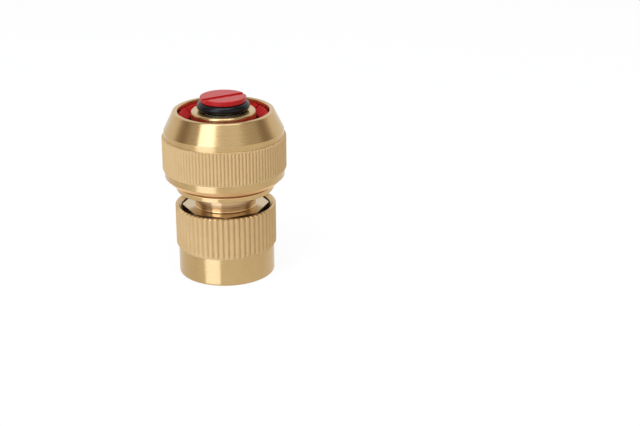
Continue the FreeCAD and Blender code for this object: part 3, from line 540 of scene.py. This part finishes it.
def makeCollar():
    form = collarForm
    base, top, crest = boxOf("collar")
    outline = easedOutline([
        (form["boreRadius"], base),
        (form["footEdge"], base, form["footEdgeRound"]),
        (form["footRadius"], base + form["footBevel"]),
        (form["footRadius"], base + form["footHeight"]),
        (crest, base + form["knurlStart"]),
        (crest, base + form["knurlEnd"]),
        (form["coneRadius"], base + form["landStart"], form["landRound"]),
        (form["coneRadius"], base + form["coneStart"], form["coneRound"]),
        (form["rimRadius"], top, form["rimRound"]),
        (form["mouthRadius"], top, form["mouthRound"]),
        (form["mouthRadius"], top - form["mouthDepth"]),
        (form["boreRadius"], top - form["mouthDepth"]),
        (form["boreRadius"], base + form["snapGrooveHigh"]),
        (form["snapGrooveRadius"], base + form["snapGrooveHigh"]),
        (form["snapGrooveRadius"], base + form["snapGrooveLow"]),
        (form["boreRadius"], base + form["snapGrooveLow"]),
    ])
    piece = knurledPiece("collarShell", outline, crest, form)
    # the knurl's rough rolled finish, with painted light in its paler colour
    coatBand(piece, rolledPaintedLightBrass, base + form["footHeight"], base + form["landStart"],
             form["footRadius"])
    # painted reflection: the foot bevel gets the brighter undercut brass
    coatBand(piece, paintedUndercutReflectionBrass, base - bandMargin, base + form["footBevel"] - bandMargin,
             form["boreRadius"] - bandMargin)
    # painted reflection: the mouth wall gets the warmer brass
    coatBand(piece, paintedReflectionBrass, top - form["mouthDepth"], top - form["mouthBandDepth"],
             0, form["mouthRadius"] + bandMargin)
    dress(piece, brass, "collar", "brass", "collar")


# Hose nut

nutForm = {
    "plainRadius": 13.3, "footRound": 0.4, "plainHeight": 7.7, "shoulderHeight": 8.6, "rimRound": 0.3,
    "mouthRadius": 12.4, "mouthChamfer": 0.8, "mouthDepth": 4.5, "threadRadius": 11.0, "coneTop": 6.5,
    "entryRadius": 9.9, "entryRound": 0.2, "entryHeight": 2.2,
    "teeth": 58, "toothDepth": 0.5, "toothSteps": 10, "crestShare": 0.37,
}


def makeHoseNut():
    form = nutForm
    base, top, crest = boxOf("hose_nut")
    outline = easedOutline([
        (form["entryRadius"], base, form["entryRound"]),
        (form["plainRadius"], base, form["footRound"]),
        (form["plainRadius"], base + form["plainHeight"]),
        (crest, base + form["shoulderHeight"]),
        (crest, top, form["rimRound"]),
        (form["mouthRadius"] + form["mouthChamfer"], top),
        (form["mouthRadius"], top - form["mouthChamfer"]),
        (form["mouthRadius"], top - form["mouthDepth"]),
        (form["threadRadius"], top - form["mouthDepth"]),
        (form["threadRadius"], base + form["coneTop"]),
        (form["entryRadius"], base + form["entryHeight"]),
    ])
    piece = knurledPiece("hoseNutShell", outline, crest, form)
    # the knurl's rough rolled finish, with painted light in its paler colour
    coatBand(piece, rolledPaintedLightBrass, base + form["plainHeight"], top - form["rimRound"],
             crest - form["toothDepth"] - bandMargin)
    dress(piece, brass, "nut", "brass", "hose_nut")


# Tail with its barbed spigot and octagon

tailForm = {
    "boreRadius": 4.9, "barbTip": 6.0, "barbRadius": 6.75, "barbSlope": 1.7, "barbLand": 0.3,
    "barbPitch": 2.6, "barbRoot": 0.12, "barbs": 3, "spigotRadius": 6.1,
    "cupTop": 11.6, "cupRadius": 9.7, "threadStart": 8.6, "threadRadius": 10.95, "threadRound": 0.3,
    "octagonStart": 15.1, "octagonEnd": 18.6, "octagonRadius": 12.0, "octagonSides": 8,
    "octagonRound": 0.15,
    "neckRadius": 8.4, "neckFoot": 0.35, "neckEnd": 23.35, "stubRadius": 7.55,
    "columns": 192,
}


def octagonReach(form):
    # flats of the octagon: the radius is cut to the flat's distance from the axis
    flat = form["octagonRadius"] * math.cos(math.pi / form["octagonSides"])
    wedge = 2 * math.pi / form["octagonSides"]

    def reach(radius, angle):
        offCentre = angle % wedge - wedge / 2
        return min(radius, flat / math.cos(offCentre))

    return reach


def makeTail():
    form = tailForm
    base, top, _ = boxOf("tail_body")
    corners = [(form["boreRadius"], base)]
    for i in range(form["barbs"]):
        foot = base + i * form["barbPitch"]
        land = foot + form["barbSlope"]
        if i:
            corners.append((form["spigotRadius"], foot + form["barbRoot"]))
        else:
            corners.append((form["barbTip"], foot))
        corners += [
            (form["barbRadius"], land),
            (form["barbRadius"], land + form["barbLand"]),
            (form["spigotRadius"], land + form["barbLand"]),
        ]
    corners += [
        (form["spigotRadius"], base + form["cupTop"]),
        (form["cupRadius"], base + form["cupTop"]),
        (form["cupRadius"], base + form["threadStart"]),
        (form["threadRadius"], base + form["threadStart"], form["threadRound"]),
        (form["threadRadius"], base + form["octagonStart"]),
        (form["octagonRadius"], base + form["octagonStart"], form["octagonRound"]),
        (form["octagonRadius"], base + form["octagonEnd"], form["octagonRound"]),
        (form["neckRadius"], base + form["octagonEnd"], form["neckFoot"]),
        (form["neckRadius"], base + form["neckEnd"]),
        (form["stubRadius"], base + form["neckEnd"]),
        (form["stubRadius"], top),
        (form["boreRadius"], top),
    ]
    piece = spunMesh("tailShell", easedOutline(corners), evenAngles(form["columns"]),
                     octagonReach(form))
    # painted light: the whole tail is given the paler brass
    piece.data.materials.append(paintedLightBrass)
    # painted reflection: the neck gets the warmer brass
    coatBand(piece, paintedReflectionBrass, base + form["octagonEnd"] + bandMargin, base + form["neckEnd"],
             form["neckRadius"] - bandMargin, form["neckRadius"] + form["neckFoot"])
    dress(piece, paintedLightBrass, "body", "brass", "tail_body")


# Head with its two barrels

headForm = {
    "threadRadius": 7.6, "beadRadius": 13.5, "beadHeight": 1.5, "beadRound": 0.3,
    "recessRadius": 12.6, "recessEnd": 6.95, "landRadius": 14.32, "landEnd": 9.25,
    "barrelRadius": 12.7, "barrelEnd": 13.25, "barrelBore": 11.8,
    "clawFloor": 6.75, "innerRadius": 9.95, "innerEnd": 17.25, "guideRadius": 8.94, "seatHeight": 4.75,
    "columns": 192,
}


def makeHead():
    form = headForm
    base, _, _ = boxOf("head_body")
    outline = easedOutline([
        (form["threadRadius"], base),
        (form["beadRadius"], base, form["beadRound"]),
        (form["beadRadius"], base + form["beadHeight"], form["beadRound"]),
        (form["recessRadius"], base + form["beadHeight"]),
        (form["recessRadius"], base + form["recessEnd"]),
        (form["landRadius"], base + form["recessEnd"]),
        (form["landRadius"], base + form["landEnd"]),
        (form["barrelRadius"], base + form["landEnd"]),
        (form["barrelRadius"], base + form["barrelEnd"]),
        (form["barrelBore"], base + form["barrelEnd"]),
        (form["barrelBore"], base + form["clawFloor"]),
        (form["innerRadius"], base + form["clawFloor"]),
        (form["innerRadius"], base + form["innerEnd"]),
        (form["guideRadius"], base + form["innerEnd"]),
        (form["guideRadius"], base + form["seatHeight"]),
        (form["threadRadius"], base + form["seatHeight"]),
    ])
    piece = spunMesh("headShell", outline, evenAngles(form["columns"]))
    piece.data.materials.append(brightBrass)
    # painted reflection: the recess under the collar gets the brighter undercut brass
    coatBand(piece, paintedUndercutReflectionBrass, base + form["beadHeight"] - form["beadRound"],
             base + form["recessEnd"] + bandMargin, form["recessRadius"] - bandMargin)
    dress(piece, brightBrass, "body", "brass", "head_body")


# Centre sleeve

sleeveForm = {
    "boreRadius": 6.5, "rimRound": 0.6, "mouthRound": 0.2,
    "grooveStart": 1.2, "grooveEnd": 3.1, "grooveRadius": 7.36, "columns": 160,
}


def makeSleeve():
    form = sleeveForm
    base, top, radius = boxOf("valve_sleeve")
    outline = easedOutline([
        (form["boreRadius"], base),
        (radius, base),
        (radius, base + form["grooveStart"]),
        (form["grooveRadius"], base + form["grooveStart"]),
        (form["grooveRadius"], base + form["grooveEnd"]),
        (radius, base + form["grooveEnd"]),
        (radius, top, form["rimRound"]),
        (form["boreRadius"], top, form["mouthRound"]),
    ])
    piece = spunMesh("sleeveShell", outline, evenAngles(form["columns"]))
    dress(piece, brass, "sleeve", "brass", "valve_sleeve")


# O-ring of the valve, with the thin mould seam round its outside

ringForm = {
    "sectionPoints": 40, "columns": 160,
    "seamProud": 0.035,   # mm
    "seamWidth": 9,       # degrees of the section
}


def makeValveRing():
    form = ringForm
    low, high, outer = boxOf("valve_o_ring")
    section = (high - low) / 2
    mean = outer - section
    middle = (high + low) / 2
    outline = []
    for i in range(form["sectionPoints"]):
        angle = 2 * math.pi * i / form["sectionPoints"]
        offSeam = math.degrees(abs((angle + math.pi) % (2 * math.pi) - math.pi))
        reach = section if offSeam < form["seamWidth"] / 2 else section - form["seamProud"]
        outline.append((mean + reach * math.cos(angle), middle + reach * math.sin(angle)))
    piece = spunMesh("valveRing", outline, evenAngles(form["columns"]))
    dress(piece, rubber, "body", "black_rubber", "valve_o_ring")


# Valve cap with its coin slot

capForm = {
    "hubRadius": 4.555, "discDepth": 1.3, "discRound": 0.15, "topRound": 0.25,
    "holeRadius": 1.55, "holeTop": 3.2,
    "slotWidth": 1.9, "slotDepth": 0.35, "slotOffset": -0.7, "slotEdge": 0.08,
    "slotAngle": 28,      # degrees from the X axis
    "columns": 160,
}


def slotCutter(form, top, radius):
    # the bar that leaves the slot: all four edges of the slot are eased, and the bar runs past the rim
    # at both ends and over the top
    half = form["slotWidth"] / 2
    ease = form["slotEdge"]
    floor = top - form["slotDepth"]
    past = 1.0
    section = [(-half, floor + ease), (-half + ease, floor), (half - ease, floor),
               (half, floor + ease), (half, top - ease), (half + ease, top),
               (half + ease, top + past), (-half - ease, top + past),
               (-half - ease, top), (-half, top - ease)]
    reach = radius + past
    turn = math.radians(form["slotAngle"])
    along = Vector((math.cos(turn), math.sin(turn), 0))
    across = Vector((-math.sin(turn), math.cos(turn), 0))
    vertices = []
    for end in (-reach, reach):
        for side, height in section:
            spot = along * end + across * (side + form["slotOffset"]) + Vector((0, 0, height))
            vertices.append(spot * mm)
    count = len(section)
    faces = [[i, (i + 1) % count, count + (i + 1) % count, count + i] for i in range(count)]
    faces += [list(range(count))[::-1], list(range(count, 2 * count))]
    mesh = bpy.data.meshes.new("slotCutter")
    mesh.from_pydata(vertices, [], faces)
    bm = bmesh.new()
    bm.from_mesh(mesh)
    bmesh.ops.recalc_face_normals(bm, faces=bm.faces)
    bm.to_mesh(mesh)
    bm.free()
    return newPiece("slotCutter", mesh)


def makeCap():
    form = capForm
    base, top, radius = boxOf("valve_cap")
    discBase = top - form["discDepth"]
    outline = easedOutline([
        (form["holeRadius"], base),
        (form["hubRadius"], base),
        (form["hubRadius"], discBase),
        (radius, discBase, form["discRound"]),
        (radius, top, form["topRound"]),
        (0.0, top, 0.0),
        (0.0, base + form["holeTop"], 0.0),
        (form["holeRadius"], base + form["holeTop"]),
    ])
    piece = spunMesh("valveCap", outline, evenAngles(form["columns"]))
    cutter = slotCutter(form, top, radius)
    modifier = piece.modifiers.new("slot", "BOOLEAN")
    modifier.operation = "DIFFERENCE"
    modifier.solver = "EXACT"
    modifier.object = cutter
    plainMesh(piece)
    bpy.data.objects.remove(cutter)
    dress(piece, glossyRed, "body", "red_plastic", "valve_cap")


# Claw ring: twelve sprung fingers on one hoop

clawForm = {
    "count": 12, "slotWidth": 0.5,
    "slotAngle": 3,       # degrees from the X axis to the nearest slot
    "boreRadius": 10.05, "baseRadius": 11.7, "baseHeight": 4.2,
    "hoopHeight": 2.0, "hoopRound": 0.02, "hoopColumns": 144,
    "fingerRadius": 11.35, "neckStart": 10.1, "headStart": 10.9, "headBevel": 0.3,
    "hookRadius": 9.65, "hookDepth": 2.4, "hookLead": 1.75,
    "insideRadius": 10.35, "insideStart": 2.4, "boreEnd": 2.1,
    "columns": 10, "edgeRound": 0.1, "edgeSegments": 3,
    "edgeAngle": 50,      # degrees, a fold above this is eased
}


def clawFingerMesh(form, outline):
    # one finger: the outline carried between two slots that keep the same width at every radius
    pitch = 2 * math.pi / form["count"]
    columns = form["columns"]
    vertices = []
    for radius, height in outline:
        half = pitch / 2 - math.asin(form["slotWidth"] / 2 / radius)
        for j in range(columns + 1):
            angle = half * (2 * j / columns - 1)
            vertices.append((radius * mm * math.cos(angle), radius * mm * math.sin(angle), height * mm))
    rows = len(outline)
    wide = columns + 1
    faces = []
    for i in range(rows):
        here, after = i * wide, (i + 1) % rows * wide
        for j in range(columns):
            faces.append([here + j, here + j + 1, after + j + 1, after + j])
    faces.append([i * wide for i in range(rows)])
    faces.append([i * wide + columns for i in range(rows)][::-1])
    mesh = bpy.data.meshes.new("clawFingers")
    mesh.from_pydata(vertices, [], faces)
    return mesh


def makeClaws():
    form = clawForm
    base, top, radius = boxOf("claw_ring")
    hoopTop = base + form["hoopHeight"]
    hookFoot = top - form["hookDepth"]
    finger = easedOutline([
        (form["boreRadius"], hoopTop, 0.0),
        (form["baseRadius"], hoopTop, 0.0),
        (form["baseRadius"], base + form["baseHeight"]),
        (form["fingerRadius"], base + form["baseHeight"]),
        (form["fingerRadius"], base + form["neckStart"]),
        (radius, base + form["headStart"]),
        (radius, top - form["headBevel"]),
        (radius - form["headBevel"], top),
        (form["hookRadius"] + form["hookLead"], top),
        (form["hookRadius"], top - form["hookLead"]),
        (form["hookRadius"], hookFoot),
        (form["insideRadius"], hookFoot - form["insideRadius"] + form["hookRadius"]),
        (form["insideRadius"], base + form["insideStart"]),
        (form["boreRadius"], base + form["boreEnd"]),
    ])
    piece = newPiece("clawRing", clawFingerMesh(form, finger))
    bevel = piece.modifiers.new("edges", "BEVEL")
    bevel.width = form["edgeRound"] * mm
    bevel.segments = form["edgeSegments"]
    bevel.limit_method = "ANGLE"
    bevel.angle_limit = math.radians(form["edgeAngle"])
    plainMesh(piece)
    repeatAround(piece, form["count"], satinRed, joinDistance=0.0001)
    ring = easedOutline([
        (form["boreRadius"], base),
        (form["baseRadius"], base),
        (form["baseRadius"], hoopTop, form["hoopRound"]),
        (form["boreRadius"], hoopTop, form["hoopRound"]),
    ])
    joinInto(piece, spunMesh("clawHoop", ring, evenAngles(form["hoopColumns"])))
    turnMesh(piece, form["slotAngle"] + 180 / form["count"])
    dress(piece, satinRed, "body", "red_plastic", "claw_ring")


# Springs: each stands on the body

springForms = {
    "sleeve_spring": {
        "name": "sleeveSpring", "wireRadius": 0.45, "pitch": 2.03,
        "joint": "sleeve_slide", "travel": 3.7,
    },
    "collar_spring": {
        "name": "collarSpring", "wireRadius": 0.5, "pitch": 1.69,
        "joint": "collar_slide", "travel": 2.7,
    },
}
springSteps = 36      # per turn
springSides = 12      # round the wire


def makeSpring(node, form):
    low, high, outer = boxOf(node)
    wire = form["wireRadius"]
    mean = outer - wire
    rise = high - low - 2 * wire
    turns = rise / form["pitch"]
    steps = round(turns * springSteps)
    vertices = []
    for i in range(steps + 1):
        along = 2 * math.pi * turns * i / steps
        for side in range(springSides):
            around = 2 * math.pi * side / springSides
            radius = (mean + wire * math.cos(around)) * mm
            height = low + wire + rise * i / steps + wire * math.sin(around)
            vertices.append((radius * math.cos(along), radius * math.sin(along), height * mm))
    faces = [list(range(springSides))]
    for i in range(steps):
        here, after = i * springSides, (i + 1) * springSides
        for side in range(springSides):
            beside = (side + 1) % springSides
            faces.append([here + side, after + side, after + beside, here + beside])
    faces.append([steps * springSides + side for side in range(springSides)][::-1])
    mesh = bpy.data.meshes.new(form["name"])
    mesh.from_pydata(vertices, [], faces)
    piece = newPiece(form["name"], mesh)
    dress(piece, steel, "body", "spring_steel", node)
    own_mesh(piece)


makeCollar()
makeHoseNut()
makeTail()
makeHead()
makeSleeve()
makeValveRing()
makeCap()
makeClaws()
for springNode, springForm in springForms.items():
    makeSpring(springNode, springForm)


# Nodes that show as the frame has them

slotOf = {part["node"]: part["material_slot"] for part in frame["record"]["subparts"]}
for name, node in frame["nodes"].items():
    if not node.hide_render:
        node.data.materials.clear()
        node.data.materials.append(finishes[slotOf[name]])
print("frame nodes dressed")


# Floor, light and camera

studio = {
    "floorTone": "#f4f3f0",
    "floorReach": 3.0,      # m
    "floorGlow": 0.9,       # share of plain white in what the eye sees of the floor
    "sideTone": "#ffe8d2",  # warm in the dark parts of the tent
    "lampTone": "#dbe7ff",  # cool lamps
}


def seenDirectly(tree, path):
    # 1 where the camera, a mirror or a clear surface looks at the backdrop, else 0
    first = addNode(tree, "ShaderNodeMath", {"operation": "MAXIMUM"},
                    {0: path.outputs["Is Camera Ray"], 1: path.outputs["Is Glossy Ray"]})
    seen = addNode(tree, "ShaderNodeMath", {"operation": "MAXIMUM"},
                   {0: first.outputs["Value"], 1: path.outputs["Is Transmission Ray"]})
    return seen.outputs["Value"]


def matteFloor():
    # painted board, pale and matt: a share of plain white keeps it white to the eye, the shadow stays
    material, tree = newMaterial("mattePaleBoard")
    seen = seenDirectly(tree, addNode(tree, "ShaderNodeLightPath"))
    board = addNode(tree, "ShaderNodeBsdfDiffuse", {}, {"Color": hexColor(studio["floorTone"])})
    glow = addNode(tree, "ShaderNodeEmission", {}, {"Color": hexColor("#ffffff"), "Strength": 1.0})
    share = addNode(tree, "ShaderNodeMath", {"operation": "MULTIPLY"},
                    {0: seen, 1: studio["floorGlow"]})
    mixed = addNode(tree, "ShaderNodeMixShader", {},
                    {0: share.outputs["Value"], 1: board.outputs["BSDF"],
                     2: glow.outputs["Emission"]})
    addNode(tree, "ShaderNodeOutputMaterial", {}, {"Surface": mixed.outputs["Shader"]})
    return material


def makeFloor():
    reach = studio["floorReach"]
    corners = [(-reach, -reach, 0), (reach, -reach, 0), (reach, reach, 0), (-reach, reach, 0)]
    mesh = bpy.data.meshes.new("floor")
    mesh.from_pydata(corners, [], [(0, 1, 2, 3)])
    floor = newPiece("floor", mesh)
    floor.data.materials.append(matteFloor())


cardSet = {
    "azimuth": -37, "halfAngle": 19.4,    # degrees, the stretch of floor that the upright walls mirror
    "footRadius": 14.0, "reach": 450.0, "lift": 0.2,   # mm
    "strength": 2.7,
}


def makeCard():
    # a bright card on the floor in front: it carries the softbox's highlight down the upright walls
    card = cardSet
    corners = []
    for side in (-1, 1):
        turn = math.radians(card["azimuth"] + side * card["halfAngle"])
        foot = Vector((math.sin(turn / 2), -math.cos(turn / 2), 0)) * card["footRadius"]
        foot.z = card["lift"]
        along = Vector((math.sin(turn), -math.cos(turn), 0)) * card["reach"]
        corners += [foot * mm, (foot + along) * mm]
    mesh = bpy.data.meshes.new("floorCard")
    mesh.from_pydata(corners, [], [(0, 1, 3, 2)])
    piece = newPiece("floorCard", mesh)
    material, tree = newMaterial("brightCard")
    glow = addNode(tree, "ShaderNodeEmission", {},
                   {"Color": hexColor(studio["lampTone"]), "Strength": card["strength"]})
    addNode(tree, "ShaderNodeOutputMaterial", {}, {"Surface": glow.outputs["Emission"]})
    piece.data.materials.append(material)
    piece.visible_camera = False
    piece.visible_diffuse = False
    piece.visible_shadow = False


tent = {
    # brightness of each part, and the two values of the direction between which that part comes in
    "side": {"level": 0.3},
    "back": {"level": 1.0, "axis": "Y", "start": 0.1, "full": 0.6},
    "front": {"level": 0.72, "axis": "Y", "start": -0.25, "full": -0.85},
    "low": {"level": 1.15, "axis": "Z", "start": 0.48, "full": 0.3},
    "lowFront": {"axis": "Y", "start": -0.05, "full": -0.45},   # low counts only in front
    "top": {"level": 0.6, "axis": "Z", "start": 0.6, "full": 0.95},
}


def makeWorld():
    # a light tent: white behind and low in front, a middle tone higher up, darker at both sides
    world = bpy.data.worlds.new("lightTent")
    bpy.context.scene.world = world
    world.use_nodes = True
    tree = world.node_tree
    tree.nodes.clear()
    direction = addNode(tree, "ShaderNodeTexCoord").outputs["Generated"]
    parts = addNode(tree, "ShaderNodeSeparateXYZ", {}, {"Vector": direction})
    shares = {}
    for name, part in tent.items():
        if "axis" in part:
            share = addNode(tree, "ShaderNodeMapRange", {"interpolation_type": "SMOOTHSTEP"},
                            {"Value": parts.outputs[part["axis"]],
                             "From Min": part["start"], "From Max": part["full"]})
            shares[name] = share.outputs["Result"]
    lowInFront = addNode(tree, "ShaderNodeMath", {"operation": "MULTIPLY"},
                         {0: shares["lowFront"], 1: shares["low"]})
    shares["low"] = lowInFront.outputs["Value"]
    level = tent["side"]["level"]
    for name in ("back", "front", "low", "top"):
        mix = addNode(tree, "ShaderNodeMix", {"data_type": "FLOAT"},
                      {"Factor": shares[name], "A": level, "B": tent[name]["level"]})
        level = mix.outputs["Result"]
    lightness = addNode(tree, "ShaderNodeMapRange", {},
                        {"Value": level, "From Min": tent["side"]["level"],
                         "From Max": tent["front"]["level"]})
    tint = addNode(tree, "ShaderNodeMix", {"data_type": "RGBA"},
                   {"Factor": lightness.outputs["Result"],
                    "A": hexColor(studio["sideTone"]), "B": hexColor("#ffffff")})
    cloth = addNode(tree, "ShaderNodeBackground", {},
                    {"Color": tint.outputs["Result"], "Strength": level})
    white = addNode(tree, "ShaderNodeBackground", {}, {"Color": hexColor("#ffffff"), "Strength": 1.0})
    path = addNode(tree, "ShaderNodeLightPath")
    mirrored = addNode(tree, "ShaderNodeMath", {"operation": "MULTIPLY"},
                       {0: seenDirectly(tree, path), 1: shares["back"]})
    shown = addNode(tree, "ShaderNodeMath", {"operation": "MAXIMUM"},
                    {0: path.outputs["Is Camera Ray"], 1: mirrored.outputs["Value"]})
    mixed = addNode(tree, "ShaderNodeMixShader", {},
                    {0: shown.outputs["Value"], 1: cloth.outputs["Background"],
                     2: white.outputs["Background"]})
    addNode(tree, "ShaderNodeOutputWorld", {}, {"Surface": mixed.outputs["Shader"]})


lampAim = 30.0    # mm above the floor
lamps = {
    # degrees to the side and up as the viewer sees them, metres, watts
    "softboxLeft": {"azimuth": -37, "rise": 34, "distance": 0.62, "size": (0.32, 0.66), "power": 2.4},
    "softboxBack": {"azimuth": 170, "rise": 35, "distance": 0.8, "size": (0.9, 0.5), "power": 0.15},
    "fillTop": {"azimuth": 0, "rise": 75, "distance": 0.7, "size": (0.6, 0.3), "power": 3.3},
}


def makeLamps():
    for name, lamp in lamps.items():
        data = bpy.data.lights.new(name, "AREA")
        data.shape = "RECTANGLE"
        data.size, data.size_y = lamp["size"]
        data.energy = lamp["power"]
        data.color = hexColor(studio["lampTone"])[:3]
        light = bpy.data.objects.new(name, data)
        bpy.context.scene.collection.objects.link(light)
        turn = math.radians(lamp["azimuth"])
        rise = math.radians(lamp["rise"])
        away = Vector((math.sin(turn) * math.cos(rise), -math.cos(turn) * math.cos(rise),
                       math.sin(rise)))
        light.location = Vector((0, 0, lampAim * mm)) + away * lamp["distance"]
        light.rotation_euler = (-away).to_track_quat("-Z", "Y").to_euler()
        light.visible_camera = False


cameraSet = {
    "distance": 360.3, "height": 155.0,   # mm from the axis and above the floor
    "pitch": 21.09, "yaw": 4.17,          # degrees down, and to the right of the coupling
    "lens": 77.7, "sensor": 36.0,         # mm
    "nearest": 10.0,                      # mm, where the view starts
}


def makeCamera():
    data = bpy.data.cameras.new("camera")
    data.lens = cameraSet["lens"]
    data.sensor_width = cameraSet["sensor"]
    data.clip_start = cameraSet["nearest"] * mm
    camera = bpy.data.objects.new("camera", data)
    bpy.context.scene.collection.objects.link(camera)
    camera.location = (0, -cameraSet["distance"] * mm, cameraSet["height"] * mm)
    yaw = math.radians(cameraSet["yaw"])
    pitch = math.radians(cameraSet["pitch"])
    aim = Vector((math.sin(yaw) * math.cos(pitch), math.cos(yaw) * math.cos(pitch),
                  -math.sin(pitch)))
    camera.rotation_euler = aim.to_track_quat("-Z", "Y").to_euler()
    bpy.context.scene.camera = camera


makeFloor()
makeCard()
makeWorld()
makeLamps()
makeCamera()
bpy.context.scene.view_settings.view_transform = "Standard"
print("studio ready")
